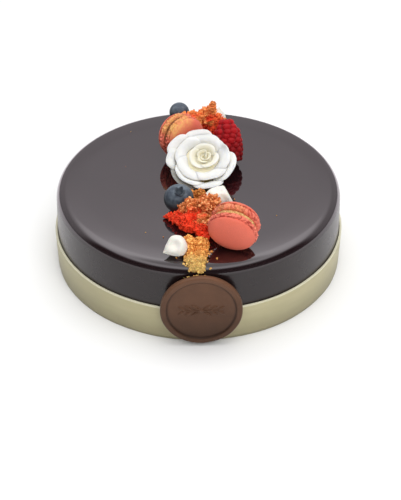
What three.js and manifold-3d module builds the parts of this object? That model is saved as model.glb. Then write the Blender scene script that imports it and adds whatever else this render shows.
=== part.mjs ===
// A round ice cream cake under a dark chocolate glaze, with a pale band round its foot, a chocolate
// medallion on its front, and a line of toppings across its top: macarons, a sugar rose, berries,
// meringue kisses, torn red sponge and biscuit crumb.
// Millimetres, +Z up. The origin is the centre of the base, and the medallion faces -Y.
import * as THREE from "three";
import { mergeVertices } from "three/addons/utils/BufferGeometryUtils.js";
import Module from "manifold-3d";

const wasm = await Module();
wasm.setup();

// Driving dimensions of the cake, its band and its medallion
const CAKE_HEIGHT = 56.5;
const CAKE_BASE_RADIUS = 97.6;
const CAKE_TOP_RADIUS = 97;
const EDGE_ROUNDING = 7.5;
const BASE_BEVEL = 0.8;
const BAND_RADIUS = 100;
const BAND_THICKNESS = 1.6;
const BAND_HEIGHT = 24.7;
const MEDALLION_RADIUS = 25.8;
const MEDALLION_THICKNESS = 4;
const MEDALLION_RIM = 4.2;
const MEDALLION_FIELD_DEPTH = 1.4;
const MEDALLION_BEVEL = 0.9;
const MEDALLION_LEAN = THREE.MathUtils.degToRad(3);
const MEDALLION_SIDE_SHIFT = 1.9;
const MEDALLION_LIFT = 1.5;
const SPRIG_RELIEF = 0.8;
const SPRIG_LEAF_LENGTH = 7.6;
const SPRIG_LEAF_BULGE = 2.3;
const SPRIG_SPACING = 4.8;
const SPRIG_STEM = 0.9;

// Driving dimensions of the toppings
const MACARON_RADIUS = 15.5;
const MACARON_FOOT = 3.6;
const MACARON_DOME = 4.7;
const MACARON_FILLING = 3;
const MACARON_FILLING_INSET = 1.7;
const MACARON_RUFFLE = 0.5;
const ROSE_HEIGHT = 17.5;
const ROSE_CUP_RADIUS = 14;
const ROSE_FOOT_RADIUS = 10;
const ROSE_HEART_RADIUS = 4.6;
const ROSE_HEART_SHIFT = [1.9, 3.1, 0];
const ROSE_OUTER_FOLLOW = 0.4;
const ROSE_TILT = THREE.MathUtils.degToRad(27);
const ROSE_LIFT = 1.6;
const PETAL_FOOT_RADIUS = 4;
const PETAL_FOOT_HEIGHT = 2;
const PETAL_THICKNESS = 1.1;
const PETAL_LAP = 0.8;
const LIP_START = 0.4;
const LIP_LEANS = [20, 115].map(THREE.MathUtils.degToRad);
const RASPBERRY_LENGTH = 28.5;
const RASPBERRY_RADIUS = 10.6;
const DRUPELET_RADIUS = 3.6;

// Firm toppings stand this far clear of what they rest on, and soft heaps this far clear of them.
const TOUCH_GAP = 0.3;
const HEAP_CLEARANCE = 1.2;
const TOP = CAKE_HEIGHT + TOUCH_GAP;

// Lumps of a heap that are smaller than this are made with the fewest faces.
const FINE_LUMP = 4.5;

// Where each topping stands on the top, and the direction of its own axis
const MACARON_FRONT = { x: 22, y: -76.2, axis: [-0.279, -0.923, -0.265] };
const MACARON_BACK = { x: -11.9, y: 29.6, axis: [0.612, -0.783, 0.113] };
const ROSE = { x: 1.6, y: 5.6 };
const RASPBERRY = { x: 21.5, y: 15, axis: [-0.1, 0.59, 1] };
const BLUEBERRY_FRONT = { x: -12.6, y: -36.2, axis: [0.07, -0.43, 0.9], radius: 9.8 };
const BLUEBERRY_BACK = { x: -14.2, y: 78, axis: [0.2, 1, -0.05], radius: 7.5 };
const MERINGUE_LEFT = {
  x: -7.6, y: -82, axis: [-0.888, -0.3, -0.35],
  radius: 6.7, length: 15.8, rounding: 6, taper: 1.15, seed: 1,
};
const MERINGUE_RIGHT = {
  x: 20.6, y: -31.5, axis: [-0.87, -0.24, -0.42],
  radius: 7.6, length: 15, rounding: 1.6, taper: 1.3, seed: 3,
};
const MERINGUE_BACK = {
  x: 14, y: 77, axis: [0.1, 0.1, 1],
  radius: 6.4, length: 12, rounding: 2.6, taper: 1.6, seed: 5,
};

// Petals of the rose: their turns in degrees, and how far each ring follows the heart to the side. The
// outer ring is uneven, so its petals have sizes of their own.
const INNER_RINGS = [
  { turns: [80, 200, 320], throat: 5.4, rise: 17.4, halfAngle: 1.35, lip: 4.4, follow: 1 },
  { turns: [5, 78, 150, 222, 295], throat: 10.6, rise: 17.6, halfAngle: 0.95, lip: 6.6, follow: 0.75 },
];
const OUTER_PETALS = [
  { turns: [26], throat: 13, rise: 17, halfAngle: 0.62, lip: 6.3, straight: 0.15 },
  { turns: [98], throat: 15.4, rise: 17.2, halfAngle: 0.6, lip: 7.4 },
  { turns: [145], throat: 17, rise: 16.8, halfAngle: 0.52, lip: 8 },
  { turns: [176], throat: 16.6, rise: 16.4, halfAngle: 0.42, lip: 7.3 },
  { turns: [226], throat: 16.6, rise: 15.2, halfAngle: 0.7, lip: 7 },
  { turns: [277], throat: 16.4, rise: 16.5, halfAngle: 0.58, lip: 7 },
  { turns: [340], throat: 15.8, rise: 16.6, halfAngle: 0.68, lip: 7.7 },
];

// The lumps of each soft heap: where on the top, how far up, and how large
const SPONGE_FRONT = [
  [-20.6, -45.5, 0.8, 1.8], [-17.6, -47, 1.8, 3.2], [-12, -50, 3, 5.2], [-10, -46.5, 8.8, 4.4],
  [-4, -49, 8.5, 7.4], [6, -49, 11, 8.4], [13.5, -55, 8, 7.4], [-5.5, -57, 3.4, 7.2], [4.5, -61, 4.5, 8],
  [3.8, -68, 1.6, 4.4],
];
const SPONGE_BACK = [
  [-9, 56, 13, 5], [-2.5, 58, 12.5, 6.4], [5, 60, 14, 6.8], [9.2, 61, 19.5, 4.4], [10.4, 61.5, 24, 2.4],
  [14, 60, 9, 5.8], [-4, 58, 4, 8], [8, 60, 5, 8.4], [-10.8, 56, 17, 3],
];
const CRUMB_FRONT = [
  [-5.5, -71.5, 0.5, 4.4], [1.5, -73, 0.5, 4.4], [-5.2, -76.5, 1, 5.2], [2, -77, 1, 5], [-5.2, -83, 0.5, 5.2],
  [2, -84, 0.5, 4.7], [-3.8, -89.5, -0.4, 4.6], [1.7, -90.5, -0.4, 4.1], [-2.6, -94, -2, 4.4],
  [1.2, -94.6, -2.2, 3.7],
];
const CRUMB_MIDDLE = [[-4.5, -28, 4, 4.4], [1.5, -27.5, 5.5, 4.4], [7, -30, 2, 4.4], [0, -33, 3, 4.4]];

// Colours and finishes
const finish = (color, roughness) => new THREE.MeshStandardMaterial({ color, roughness, metalness: 0 });
const GLAZE = finish(0x1d1512, 0.08);
const BAND_CHOCOLATE = finish(0xb9b28c, 0.45);
const MEDALLION_CHOCOLATE = finish(0x5a3d32, 0.4);
const MACARON_SHELL = finish(0xe0705c, 0.55);
const MACARON_CREAM = finish(0x9a6a33, 0.6);
const SUGAR_WHITE = finish(0xf4f2ea, 0.6);
const RASPBERRY_RED = finish(0x9c1020, 0.35);
const BLUEBERRY_BLUE = finish(0x2b3444, 0.55);
const SPONGE_RED = finish(0xd03a20, 0.9);
const CRUMB_GOLD = finish(0xd09a55, 0.85);

// A list made by calling a function with 0, 1, 2 and so on.
const listOf = (count, make) => Array.from({ length: count }, (_, i) => make(i));

// Seeded random numbers from 0 to 1.
function seededRandom(seed) {
  let state = seed >>> 0;
  return () => {
    state = (state + 0x6d2b79f5) >>> 0;
    let t = Math.imul(state ^ (state >>> 15), 1 | state);
    t = (t + Math.imul(t ^ (t >>> 7), 61 | t)) ^ t;
    return ((t ^ (t >>> 14)) >>> 0) / 4294967296;
  };
}

// A geometry with positions alone, shared corners merged and collapsed triangles left out.
function weld(geometry) {
  const bare = geometry.clone();
  bare.deleteAttribute("normal");
  bare.deleteAttribute("uv");
  const merged = mergeVertices(bare, 1e-4);
  const corners = merged.index.array;
  const kept = [];
  for (let i = 0; i < corners.length; i += 3) {
    const [a, b, c] = corners.slice(i, i + 3);
    if (a !== b && b !== c && a !== c) kept.push(a, b, c);
  }
  merged.setIndex(kept);
  return merged;
}

function solidOf(geometry) {
  const welded = weld(geometry);
  const triVerts = new Uint32Array(welded.index.array);
  const vertProperties = new Float32Array(welded.attributes.position.array);
  return new wasm.Manifold(new wasm.Mesh({ numProp: 3, vertProperties, triVerts }));
}

function geometryOf(solid) {
  const mesh = solid.getMesh();
  const geometry = new THREE.BufferGeometry();
  geometry.setAttribute("position", new THREE.BufferAttribute(mesh.vertProperties, 3));
  geometry.setIndex(new THREE.BufferAttribute(mesh.triVerts, 1));
  return geometry;
}

const join = (geometries) => geometries.map(solidOf).reduce((whole, next) => whole.add(next));

// The largest body of a solid: small scraps that a cut leaves are dropped.
const largestBody = (solid) =>
  solid.decompose().reduce((best, next) => (next.volume() > best.volume() ? next : best));

// Cuts away what lies below z = 0, so that a piece gets a flat foot.
function flatFoot(solid) {
  const reach = 2 * BAND_RADIUS;
  const below = new THREE.BoxGeometry(reach, reach, reach).translate(0, 0, -reach / 2);
  return largestBody(solid.subtract(solidOf(below)));
}

// Turns a profile of [radius, height] points, which starts low, about the Z axis.
function turned(profile, segments) {
  const points = profile.map(([radius, height]) => new THREE.Vector2(radius, height));
  return weld(new THREE.LatheGeometry(points, segments).rotateX(Math.PI / 2));
}

// Points on an arc in the profile plane, with angles in degrees up from the outward direction.
function arc(centreRadius, centreHeight, radius, from, to, steps) {
  return listOf(steps + 1, (i) => {
    const angle = THREE.MathUtils.degToRad(from + ((to - from) * i) / steps);
    return [centreRadius + radius * Math.cos(angle), centreHeight + radius * Math.sin(angle)];
  });
}

// Moves every corner of a geometry by a function of its place.
function reshaped(geometry, move) {
  const place = geometry.attributes.position;
  const point = new THREE.Vector3();
  for (let i = 0; i < place.count; i++) {
    move(point.fromBufferAttribute(place, i));
    place.setXYZ(i, point.x, point.y, point.z);
  }
  return geometry;
}

function piece(name, geometry, material) {
  const mesh = new THREE.Mesh(geometry, material);
  mesh.name = name;
  return mesh;
}

// Puts an object over its spot on the cake's top, with its own Z axis along a direction, and lowers it
// until it stands on the glaze.
function settle(object, { x, y, axis }) {
  const up = new THREE.Vector3(0, 0, 1);
  object.quaternion.setFromUnitVectors(up, new THREE.Vector3(...axis).normalize());
  object.position.set(x, y, 0);
  object.updateMatrixWorld(true);
  const box = new THREE.Box3().setFromObject(object, true);
  object.position.z = TOP - box.min.z;
  object.updateMatrixWorld(true);
  return object;
}

// The cake's outline, or the outline that far outside it.
function cakeProfile(margin) {
  const shoulder = CAKE_HEIGHT - EDGE_ROUNDING;
  return [
    [0, -margin],
    [CAKE_BASE_RADIUS - BASE_BEVEL + margin, -margin],
    [CAKE_BASE_RADIUS + margin, BASE_BEVEL],
    ...arc(CAKE_TOP_RADIUS - EDGE_ROUNDING, shoulder, EDGE_ROUNDING + margin, 0, 90, 4),
    [0, CAKE_HEIGHT + margin],
  ];
}

const cake = () => piece("cake", turned(cakeProfile(0), 72), GLAZE);

function sideBand() {
  const inside = BAND_RADIUS - BAND_THICKNESS;
  const rounding = BAND_THICKNESS / 2;
  const lip = arc(inside + rounding, BAND_HEIGHT - rounding, rounding, 0, 180, 2);
  const profile = [[inside, 0], [BAND_RADIUS, 0], ...lip, [inside, 0]];
  return piece("side_band", turned(profile, 72), BAND_CHOCOLATE);
}

// A disc with a raised rim round a sunken field, its back on z = 0.
function medallionDisc(field) {
  const innerRim = MEDALLION_RADIUS - MEDALLION_RIM;
  const profile = [
    [0, 0],
    [MEDALLION_RADIUS - MEDALLION_BEVEL, 0],
    [MEDALLION_RADIUS, MEDALLION_BEVEL],
    [MEDALLION_RADIUS, MEDALLION_THICKNESS - MEDALLION_BEVEL],
    [MEDALLION_RADIUS - MEDALLION_BEVEL, MEDALLION_THICKNESS],
    [innerRim + MEDALLION_BEVEL, MEDALLION_THICKNESS],
    [innerRim, field],
    [0, field],
  ];
  return turned(profile, 36);
}

// One pointed leaf of the sprig, standing just proud of the field.
function sprigLeaf(field, row, lean) {
  const length = SPRIG_LEAF_LENGTH - row;
  const shape = new THREE.Shape();
  shape.moveTo(0, 0);
  shape.quadraticCurveTo(length / 2, SPRIG_LEAF_BULGE, length, 0);
  shape.quadraticCurveTo(length / 2, -SPRIG_LEAF_BULGE, 0, 0);
  const settings = { depth: 2 * SPRIG_RELIEF, bevelEnabled: false, curveSegments: 3 };
  const leaf = new THREE.ExtrudeGeometry(shape, settings);
  leaf.rotateZ((lean * Math.PI) / 5);
  return leaf.translate(SPRIG_RELIEF + row * SPRIG_SPACING, 0, field - SPRIG_RELIEF);
}

// The medallion carries a low sprig: paired leaves on a stem, either side of a bead. It faces -Y,
// leans back and stands against the band.
function medallion() {
  const field = MEDALLION_THICKNESS - MEDALLION_FIELD_DEPTH;
  const halfSprig = [0, 1, 2].flatMap((row) => [-1, 1].map((lean) => sprigLeaf(field, row, lean)));
  const otherHalf = halfSprig.map((leaf) => leaf.clone().rotateZ(Math.PI));
  const bead = new THREE.SphereGeometry(2 * SPRIG_RELIEF, 10, 6).scale(1, 1, 0.5).translate(0, 0, field);
  const stem = new THREE.BoxGeometry(4.4 * SPRIG_SPACING, SPRIG_STEM, 2 * SPRIG_RELIEF);
  stem.translate(0, 0, field + 0.2 * SPRIG_RELIEF);
  const solid = join([medallionDisc(field), ...halfSprig, ...otherHalf, stem, bead]);
  const mesh = piece("medallion", geometryOf(solid), MEDALLION_CHOCOLATE);
  const centreHeight = MEDALLION_LIFT + MEDALLION_RADIUS * Math.cos(MEDALLION_LEAN);
  const backShift = (centreHeight - BAND_HEIGHT) * Math.tan(MEDALLION_LEAN) - TOUCH_GAP;
  mesh.rotation.x = Math.PI / 2 - MEDALLION_LEAN;
  mesh.position.set(0, backShift - BAND_RADIUS, centreHeight);
  const holder = new THREE.Group();
  holder.rotation.z = Math.asin(MEDALLION_SIDE_SHIFT / BAND_RADIUS);
  holder.add(mesh);
  return holder;
}

// The uneven edge of a macaron's foot, the same at both ends of a full turn.
const ruffle = (angle, phase) =>
  0.5 * Math.sin(7 * angle + phase) +
  0.3 * Math.sin(13 * angle + 2 * phase) +
  0.2 * Math.sin(19 * angle + phase);

// One macaron shell, its ruffled foot on z = 0 and its dome upwards.
function macaronShell(seed) {
  const wall = MACARON_RADIUS - MACARON_RUFFLE;
  const domeRows = 5;
  const dome = listOf(domeRows, (i) => {
    const angle = ((i + 1) / domeRows) * (Math.PI / 2);
    const radius = i === domeRows - 1 ? 0 : wall * Math.cos(angle) ** 0.62;
    return [radius, MACARON_FOOT + MACARON_RUFFLE + MACARON_DOME * Math.sin(angle)];
  });
  const profile = [
    [0, 0],
    [MACARON_RADIUS - MACARON_FILLING_INSET, 0],
    [MACARON_RADIUS, MACARON_RUFFLE],
    [MACARON_RADIUS, MACARON_FOOT - MACARON_RUFFLE],
    [wall - MACARON_RUFFLE, MACARON_FOOT],
    [wall, MACARON_FOOT + MACARON_RUFFLE],
    ...dome,
  ];
  return reshaped(turned(profile, 24), (p) => {
    const onFoot = p.z > 0.1 && p.z < MACARON_FOOT - 0.1;
    const out = onFoot ? MACARON_RUFFLE * ruffle(Math.atan2(p.y, p.x), seed + p.z) : 0;
    const grown = 1 + out / MACARON_RADIUS;
    p.x *= grown;
    p.y *= grown;
  });
}

// Two shells, their feet towards each other, with a layer of filling that stays back from the rim.
function macaron(name, place, seed) {
  const near = piece(`${name}_near_shell`, macaronShell(seed), MACARON_SHELL);
  near.position.z = MACARON_FILLING / 2;
  const far = piece(`${name}_far_shell`, macaronShell(seed + 4), MACARON_SHELL);
  far.rotation.x = Math.PI;
  far.position.z = -MACARON_FILLING / 2;
  const rim = MACARON_RADIUS - MACARON_FILLING_INSET;
  const face = MACARON_FILLING / 2 - TOUCH_GAP;
  const edge = rim - face / 2;
  const cream = turned([[0, -face], [edge, -face], [rim, 0], [edge, face], [0, face]], 24);
  const group = new THREE.Group();
  group.add(near, far, piece(`${name}_filling`, cream, MACARON_CREAM));
  return settle(group, place);
}

// A berry with a five-pointed crown round a dimple at its top.
function blueberry(name, place) {
  const { radius } = place;
  const flattening = 0.9;
  const skin = arc(0, 0, radius, -90, 69, 7).map(([r, z]) => [Math.max(r, 0), z * flattening]);
  const dimple = [[0.32, 0.95], [0.24, 0.92], [0.17, 0.76], [0, 0.74]];
  const crown = dimple.map((point) => point.map((v) => v * radius));
  const berry = reshaped(turned([...skin, ...crown], 15), (p) => {
    const onCrown = p.z > 0.87 * radius && Math.hypot(p.x, p.y) > 0.2 * radius;
    if (onCrown) p.z += 0.06 * radius * Math.cos(5 * Math.atan2(p.y, p.x));
  });
  return settle(piece(name, berry, BLUEBERRY_BLUE), place);
}

// A raspberry stands on its open end: staggered rings of drupelets on a tapering core.
function raspberry(place) {
  const swell = (t) => Math.sqrt(Math.max(0, 1 - ((t - 0.38) / 0.64) ** 2));
  const coreRadius = RASPBERRY_RADIUS - 0.75 * DRUPELET_RADIUS;
  const coreRows = 6;
  const flank = listOf(coreRows, (i) => {
    const t = i / coreRows;
    return [coreRadius * swell(t), t * RASPBERRY_LENGTH];
  });
  const core = turned([[0, 0], ...flank, [0, RASPBERRY_LENGTH - DRUPELET_RADIUS]], 16);
  const rings = 5;
  const drupelets = listOf(rings, (ring) => {
    const t = 0.07 + (0.85 * ring) / (rings - 1);
    const reach = RASPBERRY_RADIUS * swell(t) - 0.9 * DRUPELET_RADIUS;
    const count = Math.max(3, Math.round((2 * Math.PI * reach) / (1.75 * DRUPELET_RADIUS)));
    return listOf(count, (i) => {
      const angle = ((i + ring / 2) / count) * 2 * Math.PI;
      const drupelet = new THREE.IcosahedronGeometry(DRUPELET_RADIUS, 0).rotateZ(angle);
      return drupelet.translate(reach * Math.cos(angle), reach * Math.sin(angle), t * RASPBERRY_LENGTH);
    });
  });
  const solid = flatFoot(join([core, ...drupelets.flat()]));
  return settle(piece("raspberry", geometryOf(solid), RASPBERRY_RED), place);
}

// A piped meringue kiss: a rounded foot drawn out into a point, with uneven flanks.
function meringue(name, place) {
  const { radius, length, rounding, taper, seed } = place;
  const foot = arc(radius - rounding, rounding, rounding, -90, 0, 3);
  const rows = 5;
  const flank = listOf(rows, (i) => {
    const t = (i + 1) / rows;
    const out = i === rows - 1 ? 0 : radius * Math.cos((t * Math.PI) / 2) ** taper;
    return [out, rounding + (length - rounding) * t];
  });
  const kiss = reshaped(turned([[0, 0], ...foot, ...flank], 16), (p) => {
    const angle = Math.atan2(p.y, p.x);
    const grown = 1 + 0.05 * Math.sin(2 * angle + seed + 0.2 * p.z) + 0.03 * Math.sin(5 * angle - seed);
    p.x *= grown;
    p.y *= grown;
  });
  return settle(piece(name, kiss, SUGAR_WHITE), place);
}

// The border of a grid of corners, walked once round.
function borderOf(rows, columns) {
  const bottom = listOf(columns - 1, (i) => [0, i]);
  const right = listOf(rows - 1, (i) => [i, columns - 1]);
  const top = listOf(columns - 1, (i) => [rows - 1, columns - 1 - i]);
  const left = listOf(rows - 1, (i) => [rows - 1 - i, 0]);
  return [...bottom, ...right, ...top, ...left];
}

// A thin closed sheet round a surface of u from -1 to 1 and v from 0 to 1, both faces split alike.
function sheet(surface, thickness, rows, columns) {
  const step = 1e-3;
  const corners = [-1, 1].flatMap((side) =>
    listOf(rows * columns, (i) => {
      const u = (2 * (i % columns)) / (columns - 1) - 1;
      const v = Math.floor(i / columns) / (rows - 1);
      const across = surface(u + step, v).sub(surface(u - step, v));
      const along = surface(u, v + step).sub(surface(u, v - step));
      const normal = across.cross(along).normalize();
      return surface(u, v).addScaledVector(normal, (side * thickness) / 2);
    }),
  );
  const at = (side, row, column) => (side * rows + row) * columns + column;
  const index = [];
  const cell = (side, row, column) => [
    at(side, row, column),
    at(side, row, column + 1),
    at(side, row + 1, column + 1),
    at(side, row + 1, column),
  ];
  for (let row = 0; row < rows - 1; row++) {
    for (let column = 0; column < columns - 1; column++) {
      const [a, b, c, d] = cell(1, row, column);
      index.push(a, b, c, a, c, d);
      const [e, f, g, h] = cell(0, row, column);
      index.push(e, g, f, e, h, g);
    }
  }
  const border = borderOf(rows, columns);
  border.forEach((from, i) => {
    const to = border[(i + 1) % border.length];
    index.push(at(0, ...from), at(0, ...to), at(1, ...to), at(0, ...from), at(1, ...to), at(1, ...from));
  });
  const geometry = new THREE.BufferGeometry().setFromPoints(corners);
  geometry.setIndex(index);
  return geometry;
}

// How far out and up a lip reaches at a share of its width, where the whole lip reaches out by one.
function openedLip(share) {
  const [first, last] = LIP_LEANS;
  const lean = first + (last - first) * share;
  const whole = Math.cos(first) - Math.cos(last);
  return { out: (Math.cos(first) - Math.cos(lean)) / whole, up: (Math.sin(lean) - Math.sin(first)) / whole };
}

// One petal: a wall that rises from the rose's cup to its throat, and a lip that opens outwards from
// there and narrows to its ends.
function petal({ throat, rise, halfAngle, lip, straight = 0 }, turn) {
  const surface = (u, v) => {
    const wall = THREE.MathUtils.clamp(v / LIP_START, 0, 1);
    const opened = THREE.MathUtils.clamp((v - LIP_START) / (1 - LIP_START), 0, 1);
    const { out, up } = openedLip(opened);
    const width = lip * (1 - 0.65 * u ** 4);
    const angle = turn + u * halfAngle * (0.5 + 0.5 * Math.sin((v * Math.PI) / 2));
    const flank = PETAL_FOOT_RADIUS + (throat - PETAL_FOOT_RADIUS) * Math.sqrt(wall);
    const radius = (flank + width * out) * (1 + straight * u * u * v) + PETAL_LAP * u * v;
    const throatHeight = rise - 0.5 * lip;
    const climb = PETAL_FOOT_HEIGHT + (throatHeight - PETAL_FOOT_HEIGHT) * wall ** 1.2;
    const z = climb + width * up - PETAL_LAP * u * v;
    return new THREE.Vector3(radius * Math.cos(angle), radius * Math.sin(angle), z);
  };
  return sheet(surface, PETAL_THICKNESS, 6, 5);
}

// The rose's heart: one strip rolled into a spiral.
function roseHeart() {
  const turns = 2.4;
  const steps = 24;
  const edge = (inset) =>
    listOf(steps + 1, (i) => {
      const angle = (i / steps) * turns * 2 * Math.PI;
      const radius = PETAL_THICKNESS + (ROSE_HEART_RADIUS * i) / steps - inset;
      return new THREE.Vector2(radius * Math.cos(angle), radius * Math.sin(angle));
    });
  const shape = new THREE.Shape([...edge(0), ...edge(0.9 * PETAL_THICKNESS).reverse()]);
  return new THREE.ExtrudeGeometry(shape, { depth: ROSE_HEIGHT, bevelEnabled: false });
}

// Rings of overlapping petals in a cup, tilted towards the front, with the foot cut level.
function rose({ x, y }) {
  const shifted = (geometry, share) => geometry.translate(...ROSE_HEART_SHIFT.map((v) => share * v));
  const petals = [...INNER_RINGS, ...OUTER_PETALS].flatMap((ring) =>
    ring.turns.map((turn) =>
      shifted(petal(ring, THREE.MathUtils.degToRad(turn)), ring.follow ?? ROSE_OUTER_FOLLOW),
    ),
  );
  const cupHeight = 0.5 * ROSE_HEIGHT;
  const cup = turned(
    [
      [0, -ROSE_FOOT_RADIUS],
      [ROSE_FOOT_RADIUS, -ROSE_FOOT_RADIUS],
      [ROSE_FOOT_RADIUS, 0],
      [ROSE_CUP_RADIUS, cupHeight],
      [0, cupHeight],
    ],
    18,
  );
  const flower = geometryOf(largestBody(join([cup, shifted(roseHeart(), 1), ...petals])));
  flower.rotateX(ROSE_TILT).translate(0, 0, ROSE_LIFT);
  const mesh = piece("rose", geometryOf(flatFoot(solidOf(flower))), SUGAR_WHITE);
  mesh.position.set(x, y, TOP);
  mesh.updateMatrixWorld(true);
  return mesh;
}

// Craggy lumps of a heap: coarse balls with every corner pushed in or out.
function cragsAt(lumps, roughness, seed) {
  const random = seededRandom(seed);
  return lumps.map(([x, y, lift, radius]) => {
    const ball = weld(new THREE.IcosahedronGeometry(radius, radius < FINE_LUMP ? 0 : 1));
    const crag = reshaped(ball, (p) => p.multiplyScalar(1 + roughness * (2 * random() - 1)));
    return crag.translate(x, y, TOP + lift);
  });
}

// The room that a firm topping needs round it, as a solid in the cake's frame.
function clearanceOf(object) {
  const parts = [];
  object.traverse((child) => {
    if (!child.isMesh) return;
    const shape = child.geometry.clone().applyMatrix4(child.matrixWorld);
    shape.computeBoundingSphere();
    const { center, radius } = shape.boundingSphere;
    const growth = 1 + HEAP_CLEARANCE / radius;
    reshaped(shape, (p) => p.sub(center).multiplyScalar(growth).add(center));
    parts.push(shape);
  });
  return join(parts);
}

// Lays a soft heap on the cake, fitted to the glaze and to the firm toppings that stand in it.
function bedded(name, crags, neighbours, material) {
  const cakeRoom = solidOf(turned(cakeProfile(TOUCH_GAP), 72));
  const taken = [cakeRoom, ...neighbours.map(clearanceOf)];
  const fitted = taken.reduce((left, room) => left.subtract(room), join(crags));
  return piece(name, geometryOf(largestBody(fitted)), material);
}

const macaronFront = macaron("macaron_front", MACARON_FRONT, 1);
const macaronBack = macaron("macaron_back", MACARON_BACK, 2);
const sugarRose = rose(ROSE);
const berryRed = raspberry(RASPBERRY);
const berryFront = blueberry("blueberry_front", BLUEBERRY_FRONT);
const berryBack = blueberry("blueberry_back", BLUEBERRY_BACK);
const kissLeft = meringue("meringue_left", MERINGUE_LEFT);
const kissRight = meringue("meringue_right", MERINGUE_RIGHT);
const kissBack = meringue("meringue_back", MERINGUE_BACK);

const spongeFront = bedded(
  "sponge_front",
  cragsAt(SPONGE_FRONT, 0.2, 11),
  [macaronFront, berryFront, kissRight],
  SPONGE_RED,
);
const spongeBack = bedded(
  "sponge_back",
  cragsAt(SPONGE_BACK, 0.2, 23),
  [macaronBack, berryBack, kissBack, berryRed],
  SPONGE_RED,
);
const crumbFront = bedded(
  "crumb_front",
  cragsAt(CRUMB_FRONT, 0.14, 31),
  [macaronFront, kissLeft, spongeFront],
  CRUMB_GOLD,
);
const crumbMiddle = bedded(
  "crumb_middle",
  cragsAt(CRUMB_MIDDLE, 0.14, 37),
  [berryFront, kissRight, sugarRose, spongeFront],
  CRUMB_GOLD,
);

const part = new THREE.Group();
part.add(cake(), sideBand(), medallion());
part.add(macaronFront, macaronBack, sugarRose, berryRed, berryFront, berryBack);
part.add(kissLeft, kissRight, kissBack, spongeFront, spongeBack, crumbFront, crumbMiddle);

export default part;
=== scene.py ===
import itertools
import math

import bmesh
import bpy
import numpy as np
from mathutils import Matrix, Vector


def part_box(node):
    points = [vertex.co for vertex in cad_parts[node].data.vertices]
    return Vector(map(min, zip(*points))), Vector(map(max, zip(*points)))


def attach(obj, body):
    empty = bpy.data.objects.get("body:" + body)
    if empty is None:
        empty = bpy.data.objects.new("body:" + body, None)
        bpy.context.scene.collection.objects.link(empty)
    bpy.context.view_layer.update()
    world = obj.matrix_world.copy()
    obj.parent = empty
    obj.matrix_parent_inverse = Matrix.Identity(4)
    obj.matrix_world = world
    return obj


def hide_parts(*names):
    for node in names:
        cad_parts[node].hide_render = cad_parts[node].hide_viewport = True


# The looks of a chocolate-glazed ice cream cake and the toppings on it.
# Metres, +Z up. The cake stands on z = 0, and its medallion faces -Y.
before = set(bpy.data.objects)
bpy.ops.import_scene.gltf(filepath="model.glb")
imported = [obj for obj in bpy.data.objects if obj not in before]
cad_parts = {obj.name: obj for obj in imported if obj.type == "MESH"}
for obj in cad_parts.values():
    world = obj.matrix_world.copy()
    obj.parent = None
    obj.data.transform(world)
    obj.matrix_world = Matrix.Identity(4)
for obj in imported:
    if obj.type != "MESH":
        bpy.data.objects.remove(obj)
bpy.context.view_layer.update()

MM = 0.001

# Sizes read from the frame
CAKE_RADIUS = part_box("cake")[1].x
CAKE_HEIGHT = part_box("cake")[1].z
BAND_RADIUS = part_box("side_band")[1].x
BAND_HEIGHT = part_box("side_band")[1].z
ROSE_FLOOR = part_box("rose")[0].z

# Sizes of the cake, its band and its medallion
SHOULDER = 7.5 * MM
RIM_DROOP = 0.4 * MM
RIM_SLOPE = math.radians(3)
LEVEL_RADIUS = 76 * MM
BASE_BEVEL = 0.8 * MM
SIDE_TAPER = 0.6 * MM
TOP_RADIUS = CAKE_RADIUS - SIDE_TAPER
BAND_GAP = 0.2 * MM
BAND_THICKNESS = 1.6 * MM
BAND_OVERLAP = 15 * MM
OVERLAP_THICKNESS = 0.9 * MM
BAND_EDGE = 0.4 * MM
MEDALLION_RADIUS = 25.8 * MM
MEDALLION_THICKNESS = 4 * MM
MEDALLION_RIM = 4.2 * MM
MEDALLION_EDGE = 1.3 * MM
MEDALLION_FIELD_DEPTH = 1.4 * MM
MEDALLION_LEAN = math.radians(3)
MEDALLION_TURN = math.asin(0.019)
SPRIG_RELIEF = 0.8 * MM
SPRIG_LEAF_LENGTH = 7.6 * MM
SPRIG_LEAF_WIDTH = 2.3 * MM
SPRIG_SPACING = 4.8 * MM

# Sizes of the toppings
MACARON_RADIUS = 15.5 * MM
MACARON_FOOT = 3.6 * MM
MACARON_DOME = 5.2 * MM
MACARON_FILLING = 3 * MM
GOLD_BRUSH = np.array(Vector((-0.35, -0.2, 1)).normalized())
ROSE_SPOT = (1.6 * MM, 5.6 * MM)
ROSE_CUP_RADIUS = 12 * MM
ROSE_CUP_HEIGHT = 14.5 * MM
ROSE_FOOT_RADIUS = 10 * MM
ROSE_HEART_SHIFT = np.array((1.9, 3.1, 0)) * MM
ROSE_OUTER_FOLLOW = 0.4
ROSE_TILT = math.radians(27)
ROSE_LIFT = 1.6 * MM
PETAL_FOOT_RADIUS = 4 * MM
PETAL_FOOT_HEIGHT = 2 * MM
PETAL_THICKNESS = 0.7 * MM
PETAL_LAP = 0.8 * MM
LIP_START = 0.4
LIP_LEAN = math.radians(12)
RASPBERRY_LENGTH = 28.5 * MM
RASPBERRY_RADIUS = 10.4 * MM
DRUPELET_RADIUS = 3 * MM
RASPBERRY_AXIS = (-0.1, 0.59, 1)
BLUEBERRIES = {
    "blueberry_front": {"radius": 9.8 * MM, "axis": (0.07, -0.43, 0.9)},
    "blueberry_back": {"radius": 7.5 * MM, "axis": (0.2, 1, -0.05)},
}
MERINGUES = {
    "meringue_left": {"radius": 6.7, "length": 15.8, "rounding": 6, "taper": 1.15, "hollow": 0.5},
    "meringue_right": {"radius": 7.6, "length": 19, "rounding": 1.6, "taper": 0.65, "slide": 2, "lift": 10},
    "meringue_back": {"radius": 6.4, "length": 12, "rounding": 2.6, "taper": 1.6, "hollow": 0.1},
}
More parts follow.
